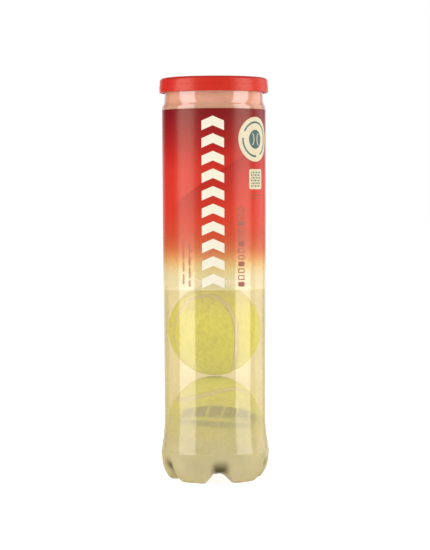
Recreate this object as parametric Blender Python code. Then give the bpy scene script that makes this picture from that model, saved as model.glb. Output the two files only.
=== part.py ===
"""A four-ball tennis ball can: a blow-moulded PET can on five petal feet, a wrap-round label,
a seamed aluminium ring-pull end, a press-on overcap, and the four balls stacked inside it.

Metres, +Z up. The origin is on the can's axis, in the plane that the feet stand on. -Y is the
front of the label. Run it with: blender --background --python part.py
"""

import math

import bmesh
import bpy
from mathutils import Matrix, Vector

# ---- driving dimensions --------------------------------------------------------------------
GAP = 0.0003  # kept between two pieces that touch on the real object
SEGMENTS = 40  # sides of every turned piece, a multiple of the five feet

BALL_RADIUS = 0.0329
BALL_PITCH = 0.0661
FIRST_BALL_Z = 0.0403

PET_WALL = 0.0006
NECK_RADIUS = 0.03485
LABEL_PANEL_TOP_RADIUS = 0.0364
LABEL_PANEL_FOOT_RADIUS = 0.0362
WAIST_RADIUS = 0.0360
FLANGE_RADIUS = 0.0358
FLANGE_Z = 0.2805

FOOT_COUNT = 5
FIRST_FOOT_TURN = math.radians(-30)  # measured from the front, towards +X
FOOT_RADIUS = 0.0385
FOOT_TOP_Z = 0.0206
PAD_OUTER_RADIUS = 0.0292
PAD_INNER_RADIUS = 0.0248
HUB_Z = 0.0050

LABEL_TOP_Z = 0.2615
LABEL_FOOT_Z = 0.1355
LABEL_FILM = 0.00012
LABEL_LAP_GAP = 0.0001
LABEL_LAP_STEPS = 1  # how many of the can's sides the glued lap covers
LABEL_RISE_STEPS = 2  # sides over which the film rises onto its own start

END_SHEET = 0.0003
SEAM_RADIUS = 0.0366
SEAM_TOP_Z = 0.2827
SEAM_FOOT_Z = 0.2794
CHUCK_RADIUS = 0.0340  # outside of the wall that drops inside the neck
CHUCK_FOOT_Z = 0.2758
PANEL_Z = 0.2766  # underside of the tear panel's flat
PANEL_RADIUS = 0.0334  # out to the score line, at the foot of the chuck wall
COUNTERSINK_RADIUS = 0.0322
COUNTERSINK_DEPTH = 0.0013
STIFFENING_BEAD_RADIUS = 0.0262
STIFFENING_BEAD_DEPTH = 0.0006

TAB_THICKNESS = 0.0013
TAB_NOSE_RADIUS = 0.0065
TAB_RING_RADIUS = 0.0105
TAB_RING_Y = -0.0055
RIVET_Y = -0.0215
RIVET_RADIUS = 0.0016
RIVET_HEAD_RADIUS = 0.0026
TONGUE_THICKNESS = 0.0005

CAP_RADIUS = 0.0385
CAP_FOOT_Z = 0.2737
CAP_TOP_Z = 0.2840
CAP_WALL = 0.0010
CAP_EDGE_ROUND = 0.0028
CAP_BEAD_RADIUS = 0.0368  # inner radius of the snap bead, just clear of the seam
CAP_RECESS_RADIUS = 0.0316

CORE_RADIUS = 0.0299
CORE_WALL = 0.0034
CORE_SIDES = 12
CORE_RINGS = 3
FELT_INNER_RADIUS = 0.0309
SEAM_HALF_WIDTH = 0.0018
SEAM_STEPS = 8  # samples of the ball's seam in each of its four equal stretches
FELT_STRIPS = 6  # strips across a felt panel, edge to edge
SEAM_WAIST = 0.42  # half the waist between the seam's two runs, as a share of the radius

# How each ball lies, in degrees: how far along its first felt, from the middle to a tip, the point
# that faces the front is; the ball's roll about that point; and the point's tilt down and turn
BALL_LIES = ((60, 4, -9, 6), (90, -90, 14, -17), (100, 0, 36, 0), (75, 60, 30, -40))


# ---- materials -----------------------------------------------------------------------------
def plain_material(name, colour, roughness, metallic=0.0, alpha=1.0):
    material = bpy.data.materials.new(name)
    material.use_nodes = True
    shader = material.node_tree.nodes["Principled BSDF"]
    shader.inputs["Base Color"].default_value = (*colour, 1.0)
    shader.inputs["Roughness"].default_value = roughness
    shader.inputs["Metallic"].default_value = metallic
    shader.inputs["Alpha"].default_value = alpha
    return material


def make_materials():
    return {
        "pet": plain_material("pet", (0.72, 0.62, 0.42), 0.15, alpha=0.45),
        "label": plain_material("label", (0.56, 0.03, 0.03), 0.30, alpha=0.85),
        "cap": plain_material("cap", (0.70, 0.04, 0.03), 0.35),
        "aluminium": plain_material("aluminium", (0.80, 0.80, 0.80), 0.30, metallic=1.0),
        "compound": plain_material("compound", (0.30, 0.30, 0.28), 0.70),
        "felt": plain_material("felt", (0.62, 0.68, 0.10), 0.95),
        "seam": plain_material("seam", (0.85, 0.84, 0.78), 0.60),
        "rubber": plain_material("rubber", (0.08, 0.08, 0.08), 0.80),
    }


# ---- mesh helpers --------------------------------------------------------------------------
def add_object(name, mesh, material, smooth_angle=35):
    mesh.materials.append(material)
    mesh.shade_smooth()
    mesh.set_sharp_from_angle(angle=math.radians(smooth_angle))
    made = bpy.data.objects.new(name, mesh)
    bpy.context.scene.collection.objects.link(made)
    return made


def mesh_from(name, corners, faces):
    """A closed mesh whose faces point outwards."""
    work = bmesh.new()
    verts = [work.verts.new(corner) for corner in corners]
    for face in faces:
        work.faces.new([verts[i] for i in face])
    bmesh.ops.recalc_face_normals(work, faces=work.faces)
    mesh = bpy.data.meshes.new(name)
    work.to_mesh(mesh)
    work.free()
    return mesh


def around(radius, turn, z):
    """A point at this radius, turned from the front (-Y) towards +X."""
    return Vector((radius * math.sin(turn), -radius * math.cos(turn), z))


def turned(name, profile, material, sides=SEGMENTS):
    """A solid of revolution about Z. The profile is a closed loop of (radius, z) points; two
    neighbours on the axis close the solid there."""
    corners, rows = [], []
    for radius, z in profile:
        count = 1 if radius == 0 else sides
        rows.append([len(corners) + i % count for i in range(sides)])
        corners += [around(radius, FIRST_FOOT_TURN + math.tau * i / sides, z) for i in range(count)]
    faces = []
    for row, following in zip(rows, rows[1:] + rows[:1]):
        for i in range(sides):
            j = (i + 1) % sides
            ring = (row[i], row[j], following[j], following[i])
            face = [c for k, c in enumerate(ring) if c != ring[k - 1]]
            if len(face) > 2:
                faces.append(face)
    return add_object(name, mesh_from(name, corners, faces), material)


def arc(centre, radius, start, end, steps):
    """Points on an arc in the profile plane; the angles are in degrees from outwards, towards up."""
    angles = [math.radians(start + (end - start) * i / steps) for i in range(steps + 1)]
    return [(centre[0] + radius * math.cos(a), centre[1] + radius * math.sin(a)) for a in angles]


def smooth_step(x):
    x = min(1.0, max(0.0, x))
    return x * x * (3 - 2 * x)


def flat_plate(name, outlines, low_z, thickness, material):
    """A sheet cut to the first outline, with the other outlines as holes in it."""
    curve = bpy.data.curves.new(name, "CURVE")
    curve.dimensions = "2D"
    curve.fill_mode = "BOTH"
    curve.extrude = thickness / 2
    for outline in outlines:
        spline = curve.splines.new("POLY")
        spline.points.add(len(outline) - 1)
        spline.use_cyclic_u = True
        for point, (x, y) in zip(spline.points, outline):
            point.co = (x, y, 0, 1)
    curve.materials.append(material)
    made = bpy.data.objects.new(name, curve)
    made.location.z = low_z + thickness / 2
    bpy.context.scene.collection.objects.link(made)
    return made


def circle(centre_y, radius, sides):
    steps = [math.tau * i / sides for i in range(sides)]
    return [(radius * math.cos(a), centre_y + radius * math.sin(a)) for a in steps]


def link_outline(front_y, front_radius, back_y, back_radius, steps):
    """The outline of a band drawn tight round two circles on the Y axis."""
    lean = math.asin((back_radius - front_radius) / (back_y - front_y))
    outline = []
    for centre, radius, first, last in (
        (back_y, back_radius, -lean, math.pi + lean),
        (front_y, front_radius, math.pi + lean, math.tau - lean),
    ):
        for i in range(steps + 1):
            a = first + (last - first) * i / steps
            outline.append((radius * math.cos(a), centre + radius * math.sin(a)))
    return outline


def rounded_rectangle(half_width, low_y, high_y, corner, steps=3):
    outline = []
    for x, y, first in (
        (half_width - corner, high_y - corner, 0),
        (-half_width + corner, high_y - corner, 90),
        (-half_width + corner, low_y + corner, 180),
        (half_width - corner, low_y + corner, 270),
    ):
        outline += arc((x, y), corner, first, first + 90, steps)
    return outline


# ---- the can -------------------------------------------------------------------------------
def can_wall_profile():
    """The outer skin from the flange's tip down to the crease above the feet."""
    return [
        (FLANGE_RADIUS, FLANGE_Z),
        (NECK_RADIUS + 0.0004, FLANGE_Z),
        (NECK_RADIUS, FLANGE_Z - 0.0006),
        (NECK_RADIUS, 0.2690),
        (0.0353, 0.2666),
        (0.0362, 0.2646),
        (0.0366, 0.2625),
        (LABEL_PANEL_TOP_RADIUS, 0.2618),
        (LABEL_PANEL_FOOT_RADIUS, 0.1340),
        (WAIST_RADIUS, 0.0420),
        (0.0365, 0.0340),
        (0.0374, 0.0268),
        (0.0379, FOOT_TOP_Z),
    ]


def foot_profile():
    """Down the middle of a foot: shoulder, outer wall, pad and the rise to the hub."""
    return [
        (FOOT_RADIUS, 0.0190),
        (0.0383, 0.0150),
        (0.0372, 0.0102),
        (0.0352, 0.0058),
        (0.0324, 0.0020),
        (PAD_OUTER_RADIUS, 0.0),
        (PAD_INNER_RADIUS, 0.0),
        (0.0215, 0.0017),
        (0.0165, 0.0044),
        (0.0085, 0.0052),
        (0.0, HUB_Z),
    ]


def valley_profile():
    """Down the middle of a valley between two feet, row for row with foot_profile."""
    return [
        (0.0377, 0.0186),
        (0.0370, 0.0157),
        (0.0355, 0.0131),
        (0.0335, 0.0110),
        (0.0312, 0.0096),
        (0.0285, 0.0087),
        (0.0247, 0.0080),
        (0.0212, 0.0074),
        (0.0163, 0.0066),
        (0.0085, 0.0056),
        (0.0, HUB_Z),
    ]


def foot_share(turn, row, rows):
    """1 down the middle of a foot and 0 in a valley. The ramp widens from the crease inwards."""
    pitch = math.tau / FOOT_COUNT
    off = abs((turn - FIRST_FOOT_TURN + pitch / 2) % pitch - pitch / 2)
    ramp = math.radians(10 + 17 * min(1.0, row / (rows / 2)))
    return smooth_step((pitch / 2 - off) / ramp)


def make_can(materials):
    wall = can_wall_profile()
    foot, valley = foot_profile(), valley_profile()
    turns = [FIRST_FOOT_TURN + math.tau * i / SEGMENTS for i in range(SEGMENTS)]
    corners, rows = [], []
    for radius, z in wall:
        rows.append([len(corners) + i for i in range(SEGMENTS)])
        corners += [around(radius, turn, z) for turn in turns]
    for row, (on_foot, in_valley) in enumerate(zip(foot, valley)):
        count = 1 if on_foot[0] == 0 else SEGMENTS
        rows.append([len(corners) + i % count for i in range(SEGMENTS)])
        for turn in turns[:count]:
            share = foot_share(turn, row, len(foot))
            radius, z = (v + share * (f - v) for f, v in zip(on_foot, in_valley))
            corners.append(around(radius, turn, z))
    work = bmesh.new()
    verts = [work.verts.new(corner) for corner in corners]
    for row, following in zip(rows, rows[1:]):
        for i in range(SEGMENTS):
            j = (i + 1) % SEGMENTS
            ring = [row[i], following[i], following[j], row[j]]
            work.faces.new([verts[c] for k, c in enumerate(ring) if c != ring[k - 1]])
    mesh = bpy.data.meshes.new("can_body")
    work.to_mesh(mesh)
    work.free()
    can = add_object("can_body", mesh, materials["pet"])
    shell = can.modifiers.new("wall", "SOLIDIFY")
    shell.thickness = PET_WALL
    shell.offset = -1
    shell.use_even_offset = True
    return can


def label_radius(z):
    """The can's outer radius behind the label at this height."""
    share = (z - 0.1340) / (0.2618 - 0.1340)
    return LABEL_PANEL_FOOT_RADIUS + share * (LABEL_PANEL_TOP_RADIUS - LABEL_PANEL_FOOT_RADIUS)


def make_label(materials):
    """A film wrapped once round the can, its last stretch lapped over its first at the back."""
    corners, faces = [], []
    last = SEGMENTS + LABEL_LAP_STEPS
    for i in range(last + 1):
        turn = FIRST_FOOT_TURN + math.tau * (i + SEGMENTS // 2) / SEGMENTS
        rise = smooth_step((i - SEGMENTS + LABEL_RISE_STEPS) / LABEL_RISE_STEPS)
        lift = GAP + rise * (LABEL_FILM + LABEL_LAP_GAP)
        for z in (LABEL_FOOT_Z, LABEL_TOP_Z):
            inner = label_radius(z) + lift
            corners += [around(inner, turn, z), around(inner + LABEL_FILM, turn, z)]
    loop = (0, 1, 3, 2)
    for i in range(last):
        for a, b in zip(loop, loop[1:] + loop[:1]):
            faces.append([4 * i + a, 4 * i + b, 4 * i + 4 + b, 4 * i + 4 + a])
    faces += [loop, [4 * last + a for a in reversed(loop)]]
    return add_object("label_wrap", mesh_from("label_wrap", corners, faces), materials["label"])


# ---- the ring-pull end ---------------------------------------------------------------------
def make_end_ring(materials):
    """The part of the end that stays on: the hook under the can's flange, the seam over it and the
    chuck wall down inside the neck."""
    sheet = END_SHEET
    chuck_inner = CHUCK_RADIUS - sheet
    hook_inner = SEAM_RADIUS - 0.0013
    profile = [
        (hook_inner, SEAM_FOOT_Z),
        (SEAM_RADIUS - 0.0004, SEAM_FOOT_Z),
        (SEAM_RADIUS, SEAM_FOOT_Z + 0.0004),
        (SEAM_RADIUS, SEAM_TOP_Z - 0.0005),
        (SEAM_RADIUS - 0.0005, SEAM_TOP_Z),
        (chuck_inner + 0.0005, SEAM_TOP_Z),
        (chuck_inner, SEAM_TOP_Z - 0.0005),
        (chuck_inner, CHUCK_FOOT_Z),
        (CHUCK_RADIUS, CHUCK_FOOT_Z),
        (CHUCK_RADIUS, SEAM_TOP_Z - sheet),
        (SEAM_RADIUS - sheet, SEAM_TOP_Z - sheet),
        (SEAM_RADIUS - sheet, SEAM_FOOT_Z + sheet),
        (hook_inner, SEAM_FOOT_Z + sheet),
    ]
    return turned("end_ring", profile, materials["aluminium"])


def make_seal(materials):
    """The ring of sealing compound between the can's flange and the end's seam."""
    low = FLANGE_Z + PET_WALL + GAP
    high = SEAM_TOP_Z - END_SHEET - GAP
    inner, outer = CHUCK_RADIUS + GAP + 0.0002, FLANGE_RADIUS - 0.0002
    profile = [(inner, low), (outer, low), (outer, high), (inner, high)]
    return turned("seam_compound", profile, materials["compound"])


def make_tear_panel(materials):
    """The disc that the ring-pull tears out, from its rivet, drawn up from its own sheet, to the
    countersink round its edge."""
    top = PANEL_Z + END_SHEET
    bead, depth = STIFFENING_BEAD_RADIUS, STIFFENING_BEAD_DEPTH
    sink, sink_depth = COUNTERSINK_RADIUS, COUNTERSINK_DEPTH
    upper = [
        (0.0, top),
        (bead - 0.0017, top),
        (bead - 0.0009, top - depth),
        (bead + 0.0009, top - depth),
        (bead + 0.0017, top),
        (sink - 0.0012, top),
        (sink - 0.0006, top - sink_depth),
        (sink + 0.0004, top - sink_depth),
        (PANEL_RADIUS, CHUCK_FOOT_Z + END_SHEET),
    ]
    lower = [(radius, z - END_SHEET) for radius, z in reversed(upper)]
    panel = turned("tear_panel", upper + lower, materials["aluminium"])
    neck_z = top - END_SHEET / 2
    head_low = top + GAP + TONGUE_THICKNESS + GAP
    head_top = top + GAP + TAB_THICKNESS
    rivet = turned(
        "rivet_shape",
        [
            (0.0, neck_z),
            (RIVET_RADIUS, neck_z),
            (RIVET_RADIUS, head_low),
            (RIVET_HEAD_RADIUS, head_low),
            (RIVET_HEAD_RADIUS - 0.0003, head_top),
            (0.0, head_top),
        ],
        materials["aluminium"],
        sides=16,
    )
    rivet.location.y = RIVET_Y
    rivet.hide_render = True
    rivet.display_type = "WIRE"
    union = panel.modifiers.new("rivet", "BOOLEAN")
    union.operation = "UNION"
    union.solver = "EXACT"
    union.object = rivet
    return panel


def make_pull_tab(materials):
    """The finger ring and nose, with a slot round the riveted tongue."""
    outline = link_outline(RIVET_Y, TAB_NOSE_RADIUS, TAB_RING_Y, TAB_RING_RADIUS, steps=9)
    slot = rounded_rectangle(0.0042, RIVET_Y - 0.0044, RIVET_Y + 0.0049, 0.0015)
    finger_hole = link_outline(TAB_RING_Y - 0.0006, 0.0068, TAB_RING_Y + 0.0008, 0.0072, steps=7)
    low = PANEL_Z + END_SHEET + GAP
    return flat_plate(
        "pull_tab", [outline, slot, finger_hole], low, TAB_THICKNESS, materials["aluminium"]
    )


def make_tab_tongue(materials):
    """The tongue of the tab that the rivet clamps; the tab bends up about its front edge."""
    outline = rounded_rectangle(0.0036, RIVET_Y - 0.0040, RIVET_Y + 0.0045, 0.0012)
    hole = circle(RIVET_Y, RIVET_RADIUS + GAP, sides=16)
    low = PANEL_Z + END_SHEET + GAP
    return flat_plate(
        "tab_tongue", [outline, hole], low, TONGUE_THICKNESS, materials["aluminium"]
    )


# ---- the overcap ---------------------------------------------------------------------------
def make_cap(materials):
    inner = CAP_RADIUS - CAP_WALL - 0.0002
    plate_top = CAP_TOP_Z - 0.0010
    edge = (CAP_RADIUS - CAP_EDGE_ROUND, CAP_TOP_Z - CAP_EDGE_ROUND)
    profile = [
        (CAP_RADIUS - 0.0008, CAP_FOOT_Z),
        (CAP_RADIUS - 0.0001, CAP_FOOT_Z + 0.0001),
        (CAP_RADIUS, CAP_FOOT_Z + 0.0005),
        *arc(edge, CAP_EDGE_ROUND, 0, 90, 4),
        (CAP_RECESS_RADIUS + 0.0011, CAP_TOP_Z),
        (CAP_RECESS_RADIUS, plate_top),
        (0.0, plate_top),
        (0.0, plate_top - CAP_WALL),
        (CAP_RECESS_RADIUS, plate_top - CAP_WALL),
        (CAP_RECESS_RADIUS + 0.0012, CAP_TOP_Z - CAP_WALL),
        (inner - 0.0012, CAP_TOP_Z - CAP_WALL),
        (inner, CAP_TOP_Z - CAP_WALL - 0.0010),
        (inner, CAP_FOOT_Z + 0.0026),
        (CAP_BEAD_RADIUS, CAP_FOOT_Z + 0.0017),
        (CAP_BEAD_RADIUS, CAP_FOOT_Z + 0.0013),
        (inner, CAP_FOOT_Z + 0.0004),
    ]
    return turned("overcap", profile, materials["cap"])


# ---- the balls -----------------------------------------------------------------------------
def seam_point(t):
    """A point of the seam on the unit sphere; t runs once round in a full turn."""
    a, b = (1 + SEAM_WAIST) / 2, (1 - SEAM_WAIST) / 2
    x = a * math.cos(t) + b * math.cos(3 * t)
    y = a * math.sin(t) - b * math.sin(3 * t)
    return Vector((x, y, 2 * math.sqrt(a * b) * math.sin(2 * t)))


def beside_seam(t, offset):
    """The seam's point moved sideways over the sphere, by an angle in radians, towards +Z's side."""
    step = 1e-4
    here = seam_point(t)
    along = (seam_point(t + step) - seam_point(t - step)).normalized()
    side = here.cross(along)
    return (here + offset * side).normalized()


def felt_faces(columns, strips):
    """Faces of a thick sheet whose outer grid comes first and inner grid second, with pointed ends."""
    rows = []
    count = 2
    for i in range(columns + 1):
        if i in (0, columns):
            rows.append([0 if i == 0 else 1] * (strips + 1))
        else:
            rows.append([count + k for k in range(strips + 1)])
            count += strips + 1
    faces = []
    for low, high in zip(rows, rows[1:]):
        for k in range(strips):
            ring = [low[k], low[k + 1], high[k + 1], high[k]]
            face = [c for j, c in enumerate(ring) if c != ring[j - 1]]
            faces += [face, [c + count for c in reversed(face)]]
        for k, turn in ((0, 1), (strips, -1)):
            faces.append([low[k], high[k], high[k] + count, low[k] + count][::turn])
    return faces


def felt_panel_mesh(name):
    """One of the ball's two dumb-bell felts: the side of the seam that holds +Z, arched over a
    centre line that runs from tip to tip through +Z."""
    along, across = Vector((-1, 1, 0)).normalized(), Vector((1, 1, 0)).normalized()
    edge = (SEAM_HALF_WIDTH + GAP) / BALL_RADIUS
    quarter = math.pi / 2
    edge_points = []
    for i in range(SEAM_STEPS + 1):
        point = beside_seam(math.pi / 4 + quarter * i / SEAM_STEPS, edge)
        reach = math.atan2(point.dot(along), point.z)
        edge_points.append((reach, math.asin(point.dot(across))))
    stations = [(-reach, width) for reach, width in reversed(edge_points[1:])] + edge_points
    columns = len(stations) - 1
    sheet = []
    for i, (reach, width) in enumerate(stations):
        shares = [0] if i in (0, columns) else [2 * k / FELT_STRIPS - 1 for k in range(FELT_STRIPS + 1)]
        line = Vector((0, 0, math.cos(reach))) + math.sin(reach) * along
        row = [math.cos(s * width) * line + math.sin(s * width) * across for s in shares]
        sheet.append(row)
    points = [sheet[0][0], sheet[-1][0]] + [p for row in sheet[1:-1] for p in row]
    corners = [BALL_RADIUS * p for p in points] + [FELT_INNER_RADIUS * p for p in points]
    return mesh_from(name, corners, felt_faces(columns, FELT_STRIPS))


def seam_mesh(name):
    """The cement that fills the channel between the two felts: a closed four-sided cord."""
    half = SEAM_HALF_WIDTH / BALL_RADIUS
    steps = 4 * SEAM_STEPS
    corners, faces = [], []
    for i in range(steps):
        t = math.pi / 4 + math.tau * i / steps
        left, right = beside_seam(t, -half), beside_seam(t, half)
        for radius in (FELT_INNER_RADIUS, BALL_RADIUS - 0.0004):
            corners += [radius * left, radius * right]
    loop = (0, 1, 3, 2)
    for i in range(steps):
        here, following = 4 * i, 4 * ((i + 1) % steps)
        for a, b in zip(loop, loop[1:] + loop[:1]):
            faces.append([here + a, here + b, following + b, following + a])
    return mesh_from(name, corners, faces)


def core_half_mesh(name):
    """Half of the hollow rubber core, its rim a little above the ball's middle plane."""
    corners, rows = [], []
    rim = math.asin(GAP / 2 / CORE_RADIUS)
    for radius, order in ((CORE_RADIUS, 1), (CORE_RADIUS - CORE_WALL, -1)):
        for ring in range(CORE_RINGS + 1)[::order]:
            climb = rim + (math.pi / 2 - rim) * ring / CORE_RINGS
            count = 1 if ring == CORE_RINGS else CORE_SIDES
            rows.append([len(corners) + i % count for i in range(CORE_SIDES)])
            across = 0 if count == 1 else radius * math.cos(climb)
            height = GAP / 2 if ring == 0 else radius * math.sin(climb)
            corners += [around(across, math.tau * i / CORE_SIDES, height) for i in range(count)]
    faces = []
    for k, row in enumerate(rows):
        following = rows[(k + 1) % len(rows)]
        for i in range(CORE_SIDES):
            j = (i + 1) % CORE_SIDES
            ring = (row[i], row[j], following[j], following[i])
            face = [c for n, c in enumerate(ring) if c != ring[n - 1]]
            if len(face) > 2:
                faces.append(face)
    return mesh_from(name, corners, faces)


def ball_rotation(reach, roll, tilt, turn):
    """Turns the ball so that the point of its first felt at this reach faces the front, rolled
    about that point, which is then tilted down and turned towards +X; all in degrees."""
    reach, roll, tilt, turn = (math.radians(a) for a in (reach, roll, tilt, turn))
    along = Vector((-1, 1, 0)).normalized()
    facing = math.cos(reach) * Vector((0, 0, 1)) + math.sin(reach) * along
    length = math.cos(reach) * along - math.sin(reach) * Vector((0, 0, 1))
    at_front = Matrix((length, -facing, length.cross(-facing))).to_4x4()
    rolled = Matrix.Rotation(roll, 4, "Y") @ at_front
    return Matrix.Rotation(turn, 4, "Z") @ Matrix.Rotation(tilt, 4, "X") @ rolled


def make_balls(materials):
    """Each ball's two felts, their seam and two half cores, on an empty at the ball's centre."""
    felt, seam, core = felt_panel_mesh("felt"), seam_mesh("seam"), core_half_mesh("core")
    for mesh, slot in ((felt, "felt"), (seam, "seam"), (core, "rubber")):
        mesh.materials.append(materials[slot])
        mesh.shade_smooth()
        mesh.set_sharp_from_angle(angle=math.radians(50))
    # The second felt is the first turned upside down and a quarter turn about Z.
    swap = Matrix.Rotation(math.pi / 2, 4, "Z") @ Matrix.Rotation(math.pi, 4, (1, 1, 0))
    flip = Matrix.Rotation(math.pi, 4, "X")
    pieces = (
        ("felt_a", felt, Matrix.Identity(4)),
        ("felt_b", felt, swap),
        ("seam", seam, Matrix.Identity(4)),
        ("core_a", core, Matrix.Identity(4)),
        ("core_b", core, flip),
    )
    for number, lie in enumerate(BALL_LIES, start=1):
        centre = bpy.data.objects.new(f"ball_{number}_centre", None)
        centre.matrix_world = ball_rotation(*lie)
        centre.location.z = FIRST_BALL_Z + (number - 1) * BALL_PITCH
        bpy.context.scene.collection.objects.link(centre)
        for piece, mesh, place in pieces:
            made = bpy.data.objects.new(f"ball_{number}_{piece}", mesh)
            made.parent = centre
            made.matrix_local = place
            bpy.context.scene.collection.objects.link(made)


def main():
    for old in list(bpy.data.objects):
        bpy.data.objects.remove(old)
    materials = make_materials()
    make_can(materials)
    make_label(materials)
    make_end_ring(materials)
    make_seal(materials)
    make_tear_panel(materials)
    make_tab_tongue(materials)
    make_pull_tab(materials)
    make_cap(materials)
    make_balls(materials)


main()
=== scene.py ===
"""The looks of the four-ball tennis ball can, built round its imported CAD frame.

Metres, +Z up, -Y the front of the label. Every CAD node has a finer piece that stands for it: the
blow-moulded can, its printed film label, the ring-pull end, the overcap and the four felt balls.
"""

import math

import bmesh
import bpy
from mathutils import Matrix, Vector, noise


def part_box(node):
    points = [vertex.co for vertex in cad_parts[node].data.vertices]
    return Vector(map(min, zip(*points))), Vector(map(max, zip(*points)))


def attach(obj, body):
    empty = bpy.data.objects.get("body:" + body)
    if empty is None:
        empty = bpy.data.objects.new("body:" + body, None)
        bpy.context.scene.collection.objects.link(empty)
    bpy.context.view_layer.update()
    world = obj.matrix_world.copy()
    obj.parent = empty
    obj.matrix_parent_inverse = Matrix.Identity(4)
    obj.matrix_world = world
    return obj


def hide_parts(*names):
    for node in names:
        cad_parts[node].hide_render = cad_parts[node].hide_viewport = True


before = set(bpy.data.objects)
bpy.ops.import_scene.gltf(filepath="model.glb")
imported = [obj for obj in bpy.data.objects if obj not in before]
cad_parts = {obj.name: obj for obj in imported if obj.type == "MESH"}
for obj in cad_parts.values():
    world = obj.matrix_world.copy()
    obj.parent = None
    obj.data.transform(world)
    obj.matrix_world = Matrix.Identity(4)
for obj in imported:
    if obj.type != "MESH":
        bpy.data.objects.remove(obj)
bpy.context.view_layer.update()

MM = 0.001

# ---- sizes, from the frame -----------------------------------------------------------------
CAN_LOW, CAN_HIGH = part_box("can_body")
LABEL_LOW, LABEL_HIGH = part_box("label_wrap")
RING_LOW, RING_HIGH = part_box("end_ring")
PANEL_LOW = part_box("tear_panel")[0]
TAB_LOW, TAB_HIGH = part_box("pull_tab")
TONGUE_LOW, TONGUE_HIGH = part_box("tab_tongue")
SEAL_LOW, SEAL_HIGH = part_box("seam_compound")
CAP_LOW, CAP_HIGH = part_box("overcap")
CAP_RADIUS = CAP_HIGH.x - 0.02 * MM
BALLS = (1, 2, 3, 4)

# ---- sizes that the frame's boxes don't hold -----------------------------------------------
PET_WALL = 0.6 * MM
WALL_RADIUS_AT_LABEL_TOP = 36.4 * MM
WALL_RADIUS_AT_LABEL_FOOT = 36.2 * MM
FOOT_COUNT = 5
FIRST_FOOT_TURN = math.radians(-30)  # measured from the front, towards +X
AROUND = 240  # sides of the turned pieces
CAN_SIDES = 360  # a multiple of the feet

SEAM_WAIST = 0.42  # half the waist between the seam's two runs, as a share of the ball's radius
SEAM_HALF_WIDTH = 1.8 * MM
FELT_INNER_RADIUS = 30.9 * MM
CORE_RADIUS = 29.9 * MM
CORE_WALL = 3.4 * MM

# How each ball lies, in degrees: how far along its first felt, from the middle to a tip, the point
# that faces the front is; the ball's roll about that point; and the point's tilt down and turn
BALL_LIES = {1: (60, 4, -9, 6), 2: (90, -90, 14, -17), 3: (100, 0, 36, 0), 4: (75, 60, 30, -40)}


# ---- node helper ---------------------------------------------------------------------------
class Finish:
    """A material or world under construction. Inputs may be numbers, colours, nodes or sockets."""

    def __init__(self, name, kept_in=bpy.data.materials):
        self.owner = kept_in.new(name)
        self.owner.use_nodes = True
        self.tree = self.owner.node_tree
        self.tree.nodes.clear()

    def put(self, socket, value):
        if isinstance(value, bpy.types.Node):
            value = value.outputs[0]
        if isinstance(value, bpy.types.NodeSocket):
            self.tree.links.new(value, socket)
        elif hasattr(value, "__len__") and len(value) == 3 and len(socket.default_value) == 4:
            socket.default_value = (*value, 1.0)
        else:
            socket.default_value = value

    def node(self, kind, inputs=(), **settings):
        made = self.tree.nodes.new("ShaderNode" + kind)
        for key, value in settings.items():
            setattr(made, key, value)
        for key, value in dict(inputs).items():
            self.put(made.inputs[key], value)
        return made

    def calc(self, operation, *values, clamp=False):
        return self.node("Math", dict(enumerate(values)), operation=operation, use_clamp=clamp)

    def blend(self, share, first, second, how="MIX"):
        made = self.node("Mix", data_type="RGBA", blend_type=how)
        for socket, value in ((0, share), (6, first), (7, second)):
            self.put(made.inputs[socket], value)
        return made.outputs[2]

    def mix(self, share, first, second):
        return self.node("MixShader", {0: share, 1: first, 2: second})

    def sheen_off(self, normal=None):
        """How much a clear sheet mirrors from either of its sides: little head-on, most of it at a
        glance."""
        glance = self.node("LayerWeight", {"Blend": 0.5, **({"Normal": normal} if normal else {})})
        steep = self.calc("POWER", glance.outputs["Facing"], 5.0)
        return self.calc("MULTIPLY_ADD", steep, 0.60, 0.042)

    def rise(self, value, low, high, at_low=0.0, at_high=1.0):
        """at_low where value is low, at_high where it is high, and smooth between them; low may be
        the larger."""
        inputs = {"Value": value, "From Min": low, "From Max": high, "To Min": at_low, "To Max": at_high}
        return self.node("MapRange", inputs, interpolation_type="SMOOTHSTEP").outputs["Result"]

    def stops(self, value, low, high, colours):
        """A colour ramp over a range of value; colours are (place, colour) with place in that range."""
        share = self.node("MapRange", {"Value": value, "From Min": low, "From Max": high})
        made = self.node("ValToRGB", {"Fac": share.outputs["Result"]})
        elements = made.color_ramp.elements
        elements.remove(elements[1])
        for number, (place, colour) in enumerate(colours):
            position = (place - low) / (high - low)
            element = elements.new(position) if number else elements[0]
            element.position = position
            element.color = (*colour, 1.0)
        return made.outputs["Color"]

    def place(self):
        """The point's X, Y and Z sockets in the piece's own frame."""
        split = self.node("SeparateXYZ", {"Vector": self.node("TexCoord").outputs["Object"]})
        return split.outputs["X"], split.outputs["Y"], split.outputs["Z"]

    def speckle(self, scale, detail=2.0, roughness=0.5):
        coordinates = self.node("TexCoord").outputs["Object"]
        inputs = {"Vector": coordinates, "Scale": scale, "Detail": detail, "Roughness": roughness}
        return self.node("TexNoise", inputs).outputs["Fac"]

    def shaded(self, colour, shade):
        """The colour made darker or lighter all over by a grey value."""
        grey = self.node("CombineColor", {0: shade, 1: shade, 2: shade})
        return self.blend(1.0, colour, grey, how="MULTIPLY")

    def bump(self, height, strength, distance):
        return self.node("Bump", {"Height": height, "Strength": strength, "Distance": distance})

    def done(self, surface, output="OutputMaterial"):
        self.node(output, {"Surface": surface})
        return self.owner


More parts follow.
